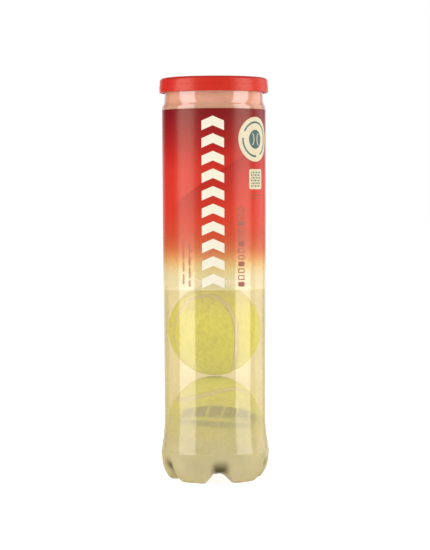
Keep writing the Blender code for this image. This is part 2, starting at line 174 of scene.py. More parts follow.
# ---- materials -----------------------------------------------------------------------------
# How much of a PET surface is milky, and the milk's colour, by height: the crystallised feet, the
# wall above them, the stretched middle and the thick, unstretched neck. The milk is lighter from just
# under the label upwards, painted light on that part of the wall, and peach at the neck, a painted
# glow of the red label and cap shining into it.
HAZE_BY_HEIGHT = ((0.000, 0.60), (0.018, 0.58), (0.034, 0.46), (0.050, 0.33), (0.066, 0.22),
                  (0.085, 0.15), (0.115, 0.13), (0.135, 0.19), (0.258, 0.14), (0.266, 0.66),
                  (0.284, 0.68))
MILK_AND_PAINTED_LIGHT_BY_HEIGHT = ((0.000, (0.79, 0.73, 0.49)), (0.040, (0.79, 0.73, 0.46)), (0.075, (0.79, 0.72, 0.46)),
                  (0.110, (0.80, 0.71, 0.46)), (0.135, (0.94, 0.85, 0.58)), (0.256, (0.86, 0.66, 0.47)),
                  (0.266, (1.00, 0.58, 0.40)))


def make_pet():
    """Beige recycled PET: clear up the wall, milky towards the feet, with painted shade low in the channels
    between them, and a painted peach glow at the neck for the red of the label and the cap shining into it."""
    f = Finish("pet")
    x, y, z = f.place()
    neck = f.rise(z, 0.2580, 0.2660)
    base = f.rise(z, 0.0600, 0.0200)
    # The peach tint at the neck is a painted glow of the red label and cap, not a colour of the PET.
    wall = f.blend(neck, (0.972, 0.926, 0.822), (0.990, 0.850, 0.755))
    tint_and_neck_glow = f.blend(base, wall, (0.94, 0.89, 0.76))
    edge = f.node("LayerWeight", {"Blend": 0.30}).outputs["Facing"]
    tint_and_neck_glow = f.blend(f.calc("MULTIPLY", edge, 0.35), tint_and_neck_glow, (0.96, 0.96, 0.66), how="MULTIPLY")
    # Painted shade: the clear and the milky PET darken low in the channels between the feet, where the base
    # lies in shadow.
    turn = f.calc("SUBTRACT", f.calc("ARCTAN2", x, f.calc("MULTIPLY", y, -1.0)), FIRST_FOOT_TURN)
    on_foot = f.calc("COSINE", f.calc("MULTIPLY", turn, FOOT_COUNT))
    channel_shade = f.calc("MULTIPLY", f.rise(on_foot, -0.50, -1.00), f.rise(z, 0.0185, 0.0090))
    channel_shade = f.calc("MULTIPLY", channel_shade, 0.78)
    clear = f.node("BsdfTransparent", {"Color": f.blend(channel_shade, tint_and_neck_glow, (0.22, 0.15, 0.03))})
    milk_and_painted_light = f.blend(channel_shade, f.stops(z, 0.0, CAP_HIGH.z, MILK_AND_PAINTED_LIGHT_BY_HEIGHT), (0.09, 0.055, 0.0))
    haze = f.mix(0.4, f.node("BsdfDiffuse", {"Color": milk_and_painted_light}), f.node("BsdfTranslucent", {"Color": milk_and_painted_light}))
    grain = f.calc("MULTIPLY_ADD", f.speckle(4500, detail=0), 0.050, -0.025)
    near = f.calc("ADD", z, f.calc("MULTIPLY", grain, f.rise(z, 0.120, 0.080)))
    greys = [(height, (haze_there,) * 3) for height, haze_there in HAZE_BY_HEIGHT]
    share = f.stops(near, 0.0, CAP_HIGH.z, greys)
    cloud = f.calc("MULTIPLY_ADD", f.speckle(60, detail=3), 0.5, 0.75)
    body = f.mix(f.calc("MULTIPLY", share, cloud), clear, haze)
    ripple = f.bump(f.speckle(35, detail=1), 0.10, 0.3 * MM)
    gloss = f.node("BsdfGlossy", {"Color": (0.86, 0.85, 0.95), "Roughness": 0.07, "Normal": ripple})
    sheen = f.calc("MULTIPLY", f.sheen_off(ripple), f.calc("MULTIPLY_ADD", neck, 1.2, 0.96))
    # Painted shade: the PET mirrors less low in the same channels.
    sheen = f.calc("MULTIPLY", sheen, f.calc("MULTIPLY_ADD", channel_shade, -0.8, 1.0))
    return f.done(f.mix(sheen, body, gloss))


# The label's solid ink, by height
LABEL_COLOURS = (
    (0.1550, (0.680, 0.2500, 0.0450)), (0.1650, (0.660, 0.1150, 0.0240)), (0.1750, (0.610, 0.0530, 0.0160)),
    (0.1850, (0.580, 0.0360, 0.0140)), (0.1970, (0.565, 0.0290, 0.0140)), (0.2160, (0.545, 0.0240, 0.0130)),
    (0.2277, (0.470, 0.0130, 0.0080)), (0.2390, (0.335, 0.0070, 0.0070)), (0.2525, (0.225, 0.0030, 0.0060)),
    (0.2615, (0.165, 0.0005, 0.0040)),
)

# What one face of the film lets through where its red thins out, and the haze in it, by height
STAIN_BY_HEIGHT = (
    (0.1440, (0.985, 0.980, 0.970)), (0.1500, (0.985, 0.930, 0.850)), (0.1550, (0.985, 0.840, 0.670)),
    (0.1600, (0.980, 0.680, 0.500)), (0.1660, (0.975, 0.480, 0.350)), (0.1740, (0.960, 0.300, 0.250)),
)


def make_label():
    """Printed film: dark red at the top, lighter below, thinning through orange to clear at the
    foot, with one slanting change of tone across it."""
    f = Finish("label_film")
    x, y, z = f.place()
    turn = f.calc("ARCTAN2", x, f.calc("MULTIPLY", y, -1))
    along = f.calc("MULTIPLY", turn, LABEL_HIGH.x)
    slant = f.calc("SUBTRACT", z, f.calc("MULTIPLY_ADD", along, 0.654, 0.2160))
    ink = f.stops(z, 0.15, 0.27, LABEL_COLOURS)
    shadow = f.calc("MULTIPLY", f.rise(slant, 0.0, -0.0008), f.rise(slant, -0.036, 0.0))
    shadow = f.calc("MULTIPLY", shadow, f.rise(along, -0.040, -0.020))
    ink = f.blend(shadow, ink, (0.78, 0.55, 0.66), how="MULTIPLY")
    ink = f.shaded(ink, f.calc("MULTIPLY_ADD", f.speckle(900, detail=1), 0.06, 0.97))
    solid = f.node("BsdfPrincipled", {"Base Color": ink, "Roughness": 0.28, "IOR": 1.45,
                                      "Specular Tint": (1.0, 0.85, 0.68)})
    stain = f.stops(z, 0.144, 0.174, STAIN_BY_HEIGHT)
    dots = f.calc("MULTIPLY_ADD", f.speckle(4000, detail=0), 0.050, -0.025)
    haze = f.blend(1.0, stain, (1.0, 0.95, 0.66), how="MULTIPLY")
    film = f.mix(0.20, f.node("BsdfTransparent", {"Color": stain}), f.node("BsdfDiffuse", {"Color": haze}))
    film = f.mix(f.calc("MULTIPLY", f.sheen_off(), 0.6), film,
                 f.node("BsdfGlossy", {"Color": (1, 1, 1), "Roughness": 0.14}))
    return f.done(f.mix(f.rise(f.calc("ADD", z, dots), 0.1560, 0.1820), film, solid))


def make_plastic(name, colour, roughness, grain=0.02):
    """Moulded plastic: a very slightly uneven gloss over a faint flow mottle."""
    f = Finish(name)
    colour = f.shaded(colour, f.calc("MULTIPLY_ADD", f.speckle(140, detail=3), 0.10, 0.95))
    rough = f.calc("MULTIPLY_ADD", f.speckle(400, detail=2), 0.08, roughness - 0.04)
    fine = f.bump(f.speckle(1500, detail=2), grain, 0.1 * MM)
    return f.done(f.node("BsdfPrincipled", {"Base Color": colour, "Roughness": rough, "IOR": 1.50,
                                            "Specular Tint": (1.0, 0.72, 0.58), "Normal": fine}))


def make_ink(name, colour):
    f = Finish(name)
    colour = f.shaded(colour, f.calc("MULTIPLY_ADD", f.speckle(1200, detail=2), 0.05, 0.975))
    return f.done(f.node("BsdfPrincipled", {"Base Color": colour, "Roughness": 0.32, "IOR": 1.45}))


def make_aluminium():
    """Rolled sheet: fine grain along X, in its gloss and in its surface."""
    f = Finish("aluminium")
    coordinates = f.node("TexCoord").outputs["Object"]
    drawn = f.node("Mapping", {"Vector": coordinates, "Scale": (60, 2500, 2500)})
    grain = f.node("TexNoise", {"Vector": drawn, "Scale": 1.0, "Detail": 3.0}).outputs["Fac"]
    colour = f.blend(grain, (0.80, 0.80, 0.81), (0.90, 0.90, 0.90))
    rough = f.calc("MULTIPLY_ADD", grain, 0.14, 0.20)
    fine = f.bump(grain, 0.15, 0.05 * MM)
    return f.done(f.node("BsdfPrincipled", {"Base Color": colour, "Metallic": 1.0, "Roughness": rough,
                                            "Normal": fine}))


def make_rubber(name, colour, roughness):
    f = Finish(name)
    colour = f.shaded(colour, f.calc("MULTIPLY_ADD", f.speckle(500, detail=4), 0.3, 0.85))
    grain = f.bump(f.speckle(900, detail=3), 0.3, 0.15 * MM)
    return f.done(f.node("BsdfPrincipled", {"Base Color": colour, "Roughness": roughness, "Normal": grain}))


FELT_COLOUR = (0.82, 0.92, 0.13)


def make_felt(name, printed):
    """Napped felt. The printed one has a row of slanting bars, by the mesh's print_u and print_v:
    millimetres along and across the row from its middle."""
    f = Finish(name)
    tufts = f.speckle(420, detail=5, roughness=0.65)
    clumps = f.speckle(110, detail=3)
    light = f.calc("ADD", f.calc("MULTIPLY", tufts, 0.80), f.calc("MULTIPLY", clumps, 0.20))
    colour = f.blend(f.rise(light, 0.32, 0.62), tuple(0.74 * c for c in FELT_COLOUR), FELT_COLOUR)
    if printed:
        u = f.node("Attribute", attribute_name="print_u").outputs["Fac"]
        v = f.node("Attribute", attribute_name="print_v").outputs["Fac"]
        fray = f.calc("MULTIPLY_ADD", f.speckle(800, detail=2), 0.9, -0.45)
        leaning = f.calc("ADD", f.calc("SUBTRACT", u, f.calc("MULTIPLY", v, 0.35)), fray)
        high = f.calc("ADD", v, fray)
        rows = []
        for middle, half_height, pitch, half_bar in ((5.4, 4.1, 10.8, 4.7), (-3.6, 2.2, 5.4, 2.3)):
            from_bar = f.calc("SUBTRACT", f.calc("FLOORED_MODULO", leaning, pitch), pitch / 2)
            bar = f.rise(f.calc("ABSOLUTE", from_bar), half_bar + 0.15, half_bar - 0.15)
            from_row = f.calc("ABSOLUTE", f.calc("SUBTRACT", high, middle))
            rows.append(f.calc("MULTIPLY", bar, f.rise(from_row, half_height + 0.2, half_height - 0.2)))
        ends = f.rise(f.calc("ABSOLUTE", leaning), 32.6, 32.2)
        mask = f.calc("MULTIPLY", f.calc("ADD", *rows), ends)
        worn = f.calc("MULTIPLY", mask, f.calc("MULTIPLY_ADD", tufts, 0.3, 0.68), clamp=True)
        colour = f.blend(worn, colour, (0.10, 0.11, 0.075))
    nap = f.bump(f.calc("ADD", tufts, f.speckle(1400, detail=3)), 0.8, 0.5 * MM)
    return f.done(f.node("BsdfPrincipled", {
        "Base Color": colour, "Roughness": 0.95, "Specular IOR Level": 0.15, "Sheen Weight": 0.35,
        "Sheen Roughness": 0.45, "Sheen Tint": (0.95, 1.0, 0.55, 1.0), "Normal": nap}))


# ---- mesh helpers --------------------------------------------------------------------------
def around(radius, turn, z):
    """A point at this radius, turned from the front (-Y) towards +X."""
    return Vector((radius * math.sin(turn), -radius * math.cos(turn), z))


def smooth_step(x):
    x = min(1.0, max(0.0, x))
    return x * x * (3 - 2 * x)


def arc(centre, radius, start, end, steps):
    """Points on an arc in the profile plane; the angles are in degrees from outwards, towards up."""
    angles = [math.radians(start + (end - start) * i / steps) for i in range(steps + 1)]
    return [(centre[0] + radius * math.cos(a), centre[1] + radius * math.sin(a)) for a in angles]


def soft_box(half_width, low_y, high_y, corner, steps=5):
    """A rectangle's outline with rounded corners, half to either side of the Y axis."""
    outline = []
    right, high, low = half_width - corner, high_y - corner, low_y + corner
    for x, y, first in ((right, high, 0), (-right, high, 90), (-right, low, 180), (right, low, 270)):
        outline += arc((x, y), corner, first, first + 90, steps)
    return outline


def flowing(points, steps):
    """A smooth curve through the points, with this many steps between neighbours."""
    path = []
    last = len(points) - 1
    for i in range(last):
        p0, p1, p2, p3 = (Vector(points[min(max(i + k, 0), last)]) for k in (-1, 0, 1, 2))
        for step in range(steps):
            t = step / steps
            path.append(tuple(
                0.5 * (2 * p1 + (p2 - p0) * t + (2 * p0 - 5 * p1 + 4 * p2 - p3) * t * t
                       + (3 * p1 - p0 - 3 * p2 + p3) * t ** 3)
            ))
    return path + [tuple(points[last])]


def without_repeats(ring):
    """A face's corners, each said once where the face narrows to a triangle."""
    return [corner for k, corner in enumerate(ring) if corner != ring[k - 1]]


def tidied(mesh, weld=0.0):
    """The mesh with its normals outwards, after joining the corners nearer than weld."""
    work = bmesh.new()
    work.from_mesh(mesh)
    if weld:
        bmesh.ops.remove_doubles(work, verts=work.verts, dist=weld)
    bmesh.ops.recalc_face_normals(work, faces=work.faces)
    work.to_mesh(mesh)
    work.free()
    return mesh


def add_piece(name, mesh, material, body, stands_for, smooth_angle=40):
    mesh.materials.append(material)
    mesh.shade_smooth()
    mesh.set_sharp_from_angle(angle=math.radians(smooth_angle))
    piece = bpy.data.objects.new(name, mesh)
    bpy.context.scene.collection.objects.link(piece)
    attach(piece, body)
    if stands_for:
        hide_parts(*stands_for)
    return piece


def mesh_from(name, corners, faces, outwards=True):
    mesh = bpy.data.meshes.new(name)
    mesh.from_pydata(corners, [], faces)
    if outwards:
        tidied(mesh)
    mesh.update()
    return mesh


def turned(name, profile, sides=AROUND, lift=None):
    """A solid of revolution about Z, from a closed loop of (radius, z) points. lift(x, y) raises or
    lowers a point."""
    corners, rows = [], []
    for radius, z in profile:
        count = 1 if radius == 0 else sides
        rows.append([len(corners) + i % count for i in range(sides)])
        for i in range(count):
            corner = around(radius, math.tau * i / sides, z)
            if lift:
                corner.z += lift(corner.x, corner.y)
            corners.append(corner)
    faces = []
    for row, following in zip(rows, rows[1:] + rows[:1]):
        for i in range(sides):
            j = (i + 1) % sides
            face = without_repeats((row[i], row[j], following[j], following[i]))
            if len(face) > 2:
                faces.append(face)
    return mesh_from(name, corners, faces)


# ---- the can -------------------------------------------------------------------------------
def can_outline():
    """The outer skin from the flange's tip down to the crease above the feet."""
    top = CAN_HIGH.z
    neck = flowing([(0.03485, top - 0.0016), (0.03484, top - 0.0060), (0.03484, top - 0.0100),
                    (0.03495, top - 0.0126), (0.0353, top - 0.0144), (0.0358, top - 0.0158),
                    (0.0364, top - 0.0172), (0.03658, top - 0.0186), (0.0365, top - 0.0196)], 4)
    flange = [(0.0357, top - 0.0006), (0.0354, top - 0.0007), (0.0351, top - 0.0010)]
    wall = flowing([(WALL_RADIUS_AT_LABEL_TOP, LABEL_HIGH.z - 0.0010), (0.0363, 0.2000),
                    (WALL_RADIUS_AT_LABEL_FOOT, LABEL_LOW.z),
                    (0.0360, 0.0850), (0.0360, 0.0560), (0.0360, 0.0420), (0.0363, 0.0370),
                    (0.0367, 0.0312), (0.0373, 0.0275), (0.0377, 0.0245), (0.0379, 0.0224)], 3)
    return flange + neck + wall


def foot_outline():
    """Down the middle of a foot: step, outer face, pad and the rise to the hub."""
    return flowing([(0.0381, 0.0219), (0.03838, 0.0213), (0.0384, 0.0204), (0.0382, 0.0170),
                    (0.0374, 0.0108), (0.0357, 0.0062), (0.0336, 0.0024), (0.0318, 0.0006),
                    (0.0300, 0.0), (0.0275, 0.0), (0.0248, 0.0002), (0.0222, 0.0012),
                    (0.0190, 0.0028), (0.0150, 0.0040), (0.0100, 0.0046), (0.0055, 0.0046),
                    (0.0040, 0.0042), (0.0022, 0.0034), (0.0, 0.0032)], 3)


def valley_outline():
    """Down the middle of a valley between two feet, row for row with foot_outline."""
    return flowing([(0.0379, 0.0212), (0.0378, 0.0198), (0.0374, 0.0178), (0.0364, 0.0150),
                    (0.0349, 0.0126), (0.0332, 0.0109), (0.0313, 0.0096), (0.0297, 0.0088),
                    (0.0281, 0.0082), (0.0260, 0.0077), (0.0236, 0.0072), (0.0212, 0.0067),
                    (0.0183, 0.0061), (0.0146, 0.0055), (0.0099, 0.0050), (0.0055, 0.0047),
                    (0.0040, 0.0042), (0.0022, 0.0034), (0.0, 0.0032)], 3)


def foot_share(turn, depth):
    """1 on a foot and 0 along a valley's floor. depth runs from 0 at the crease to 1 at the hub:
    the floor widens and the flanks lean more on the way down."""
    pitch = math.tau / FOOT_COUNT
    off = abs((turn - FIRST_FOOT_TURN + pitch / 2) % pitch - pitch / 2)
    down = min(1.0, depth / 0.45)
    floor = math.radians(5.0 + 1.5 * down)
    flank = math.radians(2.5 + 12.0 * down)
    rise = min(1.0, max(0.0, (pitch / 2 - off - floor) / flank))
    return 0.75 * rise + 0.25 * smooth_step(rise)


def make_can(material):
    wall, foot, valley = can_outline(), foot_outline(), valley_outline()
    sides = CAN_SIDES
    turns = [FIRST_FOOT_TURN + math.tau * i / sides for i in range(sides)]
    corners, rows = [], []
    for radius, z in wall:
        rows.append([len(corners) + i for i in range(sides)])
        corners += [around(radius, turn, z) for turn in turns]
    for row, (on_foot, in_valley) in enumerate(zip(foot, valley)):
        count = 1 if on_foot[0] == 0 else sides
        rows.append([len(corners) + i % count for i in range(sides)])
        for turn in turns[:count]:
            share = foot_share(turn, row / (len(foot) - 1))
            radius, z = (v + share * (f - v) for f, v in zip(on_foot, in_valley))
            corners.append(around(radius, turn, max(z, CAN_LOW.z)))
    faces = []
    for row, following in zip(rows, rows[1:]):
        for i in range(sides):
            j = (i + 1) % sides
            faces.append(without_repeats((row[i], following[i], following[j], row[j])))
    mesh = mesh_from("can_body", corners, faces, outwards=False)
    can = add_piece("can", mesh, material, "can", ["can_body"], smooth_angle=50)
    shell = can.modifiers.new("wall", "SOLIDIFY")
    shell.thickness = PET_WALL
    shell.offset = -1
    return can


# ---- the label -----------------------------------------------------------------------------
LABEL_GAP = 0.06 * MM
FILM = 0.10 * MM
INK = 0.03 * MM
LAP = math.radians(9)


def wall_radius(z):
    """The can's outer radius behind the label."""
    share = (z - LABEL_LOW.z) / (LABEL_HIGH.z - LABEL_LOW.z)
    return WALL_RADIUS_AT_LABEL_FOOT + share * (WALL_RADIUS_AT_LABEL_TOP - WALL_RADIUS_AT_LABEL_FOOT)


def make_label_piece(material):
    """The film, wrapped once round with its end lapped over its start at the back, and the faint
    vertical waves that a shrunk film keeps."""
    columns, rows = AROUND + 6, 40
    corners, faces = [], []
    for i in range(columns + 1):
        turn = math.pi - LAP / 2 + (math.tau + LAP) * i / columns
        rise = smooth_step((i / columns - 0.955) / 0.02)
        for k in range(rows + 1):
            z = LABEL_LOW.z + (LABEL_HIGH.z - LABEL_LOW.z) * k / rows
            wave = 0.035 * MM * noise.noise(Vector((math.sin(turn) * 2, math.cos(turn) * 2, z * 9)))
            inner = wall_radius(z) + LABEL_GAP + 0.03 * MM + wave + rise * (FILM + 0.04 * MM)
            corners += [around(inner, turn, z), around(inner + FILM, turn, z)]
    tall = 2 * (rows + 1)
    for i in range(columns):
        for k in range(rows):
            a, b = tall * i + 2 * k, tall * (i + 1) + 2 * k
            faces += [(a, a + 2, b + 2, b), (a + 1, b + 1, b + 3, a + 3)]
        low, high = tall * i, tall * i + 2 * rows
        faces += [(low, low + tall, low + tall + 1, low + 1),
                  (high, high + 1, high + tall + 1, high + tall)]
    for k in range(rows):
        a, b = 2 * k, tall * columns + 2 * k
        faces += [(a, a + 1, a + 3, a + 2), (b, b + 2, b + 3, b + 1)]
    mesh = mesh_from("label_film", corners, faces)
    return add_piece("label", mesh, material, "can", ["label_wrap"])


def closed_loops(name, dimensions, loops):
    """A curve with one closed, straight-sided spline for each loop of (x, y) points."""
    curve = bpy.data.curves.new(name, "CURVE")
    curve.dimensions = dimensions
    for loop in loops:
        spline = curve.splines.new("POLY")
        spline.points.add(len(loop) - 1)
        spline.use_cyclic_u = True
        for point, (x, y) in zip(spline.points, loop):
            point.co = (x, y, 0, 1)
    return curve


def printed(name, shapes, material, layer=1):
    """Ink on the label: flat shapes, given as loops of (millimetres round from the front, metres up)
    points with their holes, wrapped round the film. layer lifts one ink over another."""
    curve = closed_loops(name, "2D", [[(s * MM, z) for s, z in loop] for loop in shapes])
    curve.fill_mode = "BOTH"
    flat = bpy.data.objects.new(name, curve)
    work = bmesh.new()
    work.from_mesh(flat.to_mesh())
    bpy.data.objects.remove(flat)
    bpy.data.curves.remove(curve)
    reach = [v.co.x for v in work.verts]
    step = 1.2 * MM
    cut = math.ceil(min(reach) / step) * step
    while cut < max(reach):
        everything = work.verts[:] + work.edges[:] + work.faces[:]
        bmesh.ops.bisect_plane(work, geom=everything, plane_co=(cut, 0, 0), plane_no=(1, 0, 0))
        cut += step
    bmesh.ops.remove_doubles(work, verts=work.verts, dist=0.5e-5)
    lift = LABEL_GAP + FILM + (0.05 + 0.05 * layer) * MM
    for vert in work.verts:
        s, z = vert.co.x, vert.co.y
        radius = wall_radius(z) + lift
        vert.co = around(radius, s / wall_radius(z), z)
    bmesh.ops.recalc_face_normals(work, faces=work.faces)
    bmesh.ops.solidify(work, geom=work.faces[:], thickness=INK)
    bmesh.ops.recalc_face_normals(work, faces=work.faces)
    mesh = bpy.data.meshes.new(name)
    work.to_mesh(mesh)
    work.free()
    return add_piece(name, mesh, material, "can", [])


def rectangle(s, z, width, height):
    """A loop centred at (s, z), in millimetres round and metres up, with sizes in millimetres."""
    w, h = width / 2, height / 2 * MM
    return [(s - w, z - h), (s + w, z - h), (s + w, z + h), (s - w, z + h)]


def rounded(s, z, width, height, corner):
    """The same with rounded corners."""
    return [(s + x, z + y * MM) for x, y in soft_box(width / 2, -height / 2, height / 2, corner)]


def disc(s, z, radius, steps=64):
    return [(s + a, z + b * MM) for a, b in arc((0, 0), radius, 0, 360 - 360 / steps, steps - 1)]


def band(s, z, inner, outer, start, end, steps=40):
    """Part of a ring, from start to end degrees, with square ends."""
    outside = arc((0, 0), outer, start, end, steps)
    inside = arc((0, 0), inner, end, start, steps)
    return [(s + a, z + b * MM) for a, b in outside + inside]


def make_print(materials):
    """Generic graphics only: a column of chevrons, dashes where small print would be, a badge with a
    ball on it and a panel of dots."""
    cream, buff, dark, brown = (materials[ink] for ink in ("cream", "buff", "teal", "brown"))
    left, wide, tall, peak, pitch = -8.6, 15.6, 6.6, 3.4, 12.15
    # Each corner: how far across, on the lower or the upper edge, and at an end or at the point
    chevron = [(left + across * wide, (edge * tall + point * peak) / 2 * MM)
               for across, edge, point in ((0, -1, -1), (0.5, -1, 1), (1, -1, -1),
                                           (1, 1, -1), (0.5, 1, 1), (0, 1, -1))]
    chevrons = [[(s, 0.1420 + k * pitch * MM + up) for s, up in chevron] for k in range(10)]
    printed("print_chevrons", chevrons, cream)

    side = []
    for k in range(12):
        z = 0.1395 + k * 4.7 * MM
        side.append(rounded(19.6, z, 5.0, 3.3, 0.7))
        if k % 3:
            side.append(rounded(19.6, z, 3.7, 2.0, 0.3))
    printed("print_side_dashes", side, brown)
    small = []
    for column, s in enumerate((-22.9, -17.8)):
        for k in range(22):
            if (k * 7 + column * 3) % 6:
                small.append(rectangle(s, 0.1388 + k * 1.45 * MM, 1.5, 0.9))
    printed("print_small_dashes", small, brown)

    badge_s, badge_z, badge_r = 33.1, 0.2403, 15.6
    printed("print_badge", [disc(badge_s, badge_z, badge_r)], buff)
    ring = [band(badge_s, badge_z, 11.2, 12.5, -62, 152),
            band(badge_s, badge_z, 11.2, 12.5, 176, 274),
            disc(badge_s, badge_z, 6.6)]
    printed("print_badge_ring", ring, dark, layer=2)
    seams = [band(badge_s - 7.4, badge_z, 5.4, 6.2, -45, 45, 16),
             band(badge_s + 7.4, badge_z, 5.4, 6.2, 135, 225, 16)]
    printed("print_badge_ball_seams", seams, buff, layer=3)

    square_s, square_z = 33.7, 0.2125
    printed("print_dot_panel", [rounded(square_s, square_z, 14.4, 14.0, 1.6)], buff)
    dots = []
    for row in range(6):
        for column in range(6):
            radius = 0.45 if (row + column) % 2 else 0.72
            right, up = (column - 2.5) * 1.9, (row - 2.5) * 1.9 * MM
            dots.append(disc(square_s + right, square_z + up, radius, 16))
    printed("print_dots", dots, dark, layer=2)
    lines = [rectangle(square_s, 0.2032 - k * 2.1 * MM, w, 0.6) for k, w in enumerate((3.5, 12, 8))]
    printed("print_fine_lines", lines, brown)


# ---- the ring-pull end ---------------------------------------------------------------------
RIVET_Y = (TONGUE_LOW.y + TONGUE_HIGH.y) / 2 - 0.25 * MM
SHEET = 0.3 * MM


def make_end_ring_piece(material):
    """The double seam, rolled round the can's flange, and the chuck wall inside it."""
    # The frame's ring has flats where its box ends, so its corners lie a little further out
    outer, top, low = RING_HIGH.y / math.cos(math.radians(3)), RING_HIGH.z, 0.2794
    chuck, foot = 0.0340, RING_LOW.z
    inner = chuck - SHEET
    profile = [
        (outer - 1.3 * MM, low),
        *arc((outer - 0.7 * MM, low + 0.6 * MM), 0.6 * MM, -90, -20, 5),
        *flowing([(outer - 0.04 * MM, low + 0.9 * MM), (outer - 0.10 * MM, low + 1.8 * MM),
                  (outer - 0.02 * MM, top - 0.75 * MM)], 4),
        *arc((outer - 0.75 * MM, top - 0.75 * MM), 0.75 * MM, 10, 90, 7),
        *arc((inner + 0.70 * MM, top - 0.70 * MM), 0.70 * MM, 90, 180, 7),
        (inner, top - 2.5 * MM),
        (inner, foot),
        (chuck, foot),
        (chuck, top - SHEET - 0.3 * MM),
        (chuck + 0.2 * MM, top - SHEET),
        (outer - SHEET - 0.4 * MM, top - SHEET),
        (outer - SHEET, top - SHEET - 0.4 * MM),
        (outer - SHEET, low + SHEET + 0.3 * MM),
        (outer - 1.3 * MM, low + SHEET),
    ]
    mesh = turned("end_ring", profile)
    return add_piece("seamed_ring", mesh, material, "can", ["end_ring"])


def make_seal_piece(material):
    low, high = SEAL_LOW.z, SEAL_HIGH.z
    inner, outer = 0.0345, SEAL_HIGH.y
    middle = (low + high) / 2
    profile = [*arc((outer - 0.3 * MM, middle), (high - low) / 2, -90, 90, 5),
               *arc((inner + 0.3 * MM, middle), (high - low) / 2, 90, 270, 5)]
    mesh = turned("seam_compound", profile)
    return add_piece("sealing_compound", mesh, material, "can", ["seam_compound"])


def finger_well(x, y):
    """The hollow pressed into the panel so that a nail gets under the tab's ring."""
    along = (y + 1.0 * MM) / (10.5 * MM)
    across = x / (8.5 * MM)
    return -0.75 * MM * smooth_step(1.6 * (1 - math.hypot(along, across)))


def make_panel_piece(material):
    top, low_edge = 0.2769, PANEL_LOW.z
    edge = 0.0334
    groove = 1.05 * MM
    upper = [(0.0, top), *[(r * MM, top) for r in range(1, 24)],
             *flowing([(0.0242, top), (0.0250, top - 0.1 * MM), (0.0256, top - 0.6 * MM),
                       (0.0268, top - 0.6 * MM), (0.0274, top - 0.1 * MM), (0.0282, top),
                       (0.0296, top), (0.0306, top), (0.0312, top - 0.3 * MM),
                       (0.0316, top - groove), (0.0322, top - groove - 0.25 * MM),
                       (0.0328, top - groove), (0.0332, top - 0.9 * MM), (edge, top - 0.75 * MM)], 3)]
    lower = [(radius, max(z - SHEET, low_edge)) for radius, z in reversed(upper)]
    panel = turned("tear_panel", upper + lower, lift=finger_well)
    head_top, shank = TAB_HIGH.z, 1.6 * MM
    collar = TONGUE_HIGH.z + 0.1 * MM
    rivet = turned("rivet", [
        (0.0, top - SHEET / 2), (shank, top - SHEET / 2), (shank, collar), (2.5 * MM, collar),
        *arc((2.3 * MM, collar + 0.3 * MM), 0.3 * MM, -60, 90, 5),
        (1.3 * MM, head_top - 0.1 * MM), (0.9 * MM, head_top - 0.35 * MM), (0.0, head_top - 0.4 * MM),
    ], sides=48)
    rivet.transform(Matrix.Translation((0, RIVET_Y, 0)))
    joined = united("tear_panel", [panel, rivet])
    return add_piece("tear_panel_disc", joined, material, "lid_panel", ["tear_panel"])


def united(name, meshes):
    """One closed mesh from several that overlap."""
    holders = []
    for mesh in meshes:
        holder = bpy.data.objects.new("part_of_" + name, mesh)
        bpy.context.scene.collection.objects.link(holder)
        holders.append(holder)
    first, others = holders[0], holders[1:]
    for other in others:
        joint = first.modifiers.new("join", "BOOLEAN")
        joint.operation = "UNION"
        joint.solver = "EXACT"
        joint.object = other
    bpy.context.view_layer.update()
    evaluated = first.evaluated_get(bpy.context.evaluated_depsgraph_get())
    made = bpy.data.meshes.new_from_object(evaluated)
    for holder in holders:
        bpy.data.objects.remove(holder)
    made.name = name
    made.materials.clear()
    return made


def loop_round(front_y, front_radius, back_y, back_radius, steps):
    """The outline of a band drawn tight round two circles on the Y axis."""
    lean = math.asin((back_radius - front_radius) / (back_y - front_y))
    outline = []
    for centre, radius, first, last in (
        (back_y, back_radius, -lean, math.pi + lean),
        (front_y, front_radius, math.pi + lean, math.tau - lean),
    ):
        for i in range(steps + 1):
            a = first + (last - first) * i / steps
            outline.append((radius * math.cos(a), centre + radius * math.sin(a)))
    return outline


def plate(name, outlines, low_z, thickness, edge):
    """A sheet cut to the first outline with the others as holes, all its edges rounded."""
    curve = closed_loops(name, "2D", outlines)
    curve.fill_mode = "BOTH"
    curve.extrude = thickness / 2 - edge
    curve.bevel_depth = edge
    curve.bevel_resolution = 3
    curve.offset = -edge
    return curve_mesh(name, curve, low_z + thickness / 2)


def rolled_edge(name, outline, middle_z, radius):
    """A round bead along a closed outline."""
    curve = closed_loops(name, "3D", [outline])
    curve.bevel_depth = radius
    curve.bevel_resolution = 4
    return curve_mesh(name, curve, middle_z)


def curve_mesh(name, curve, z):
    holder = bpy.data.objects.new(name, curve)
    bpy.context.scene.collection.objects.link(holder)
    bpy.context.view_layer.update()
    evaluated = holder.evaluated_get(bpy.context.evaluated_depsgraph_get())
    mesh = bpy.data.meshes.new_from_object(evaluated)
    bpy.data.objects.remove(holder)
    bpy.data.curves.remove(curve)
    tidied(mesh, weld=0.001 * MM)
    mesh.transform(Matrix.Translation((0, 0, z)))
    return mesh


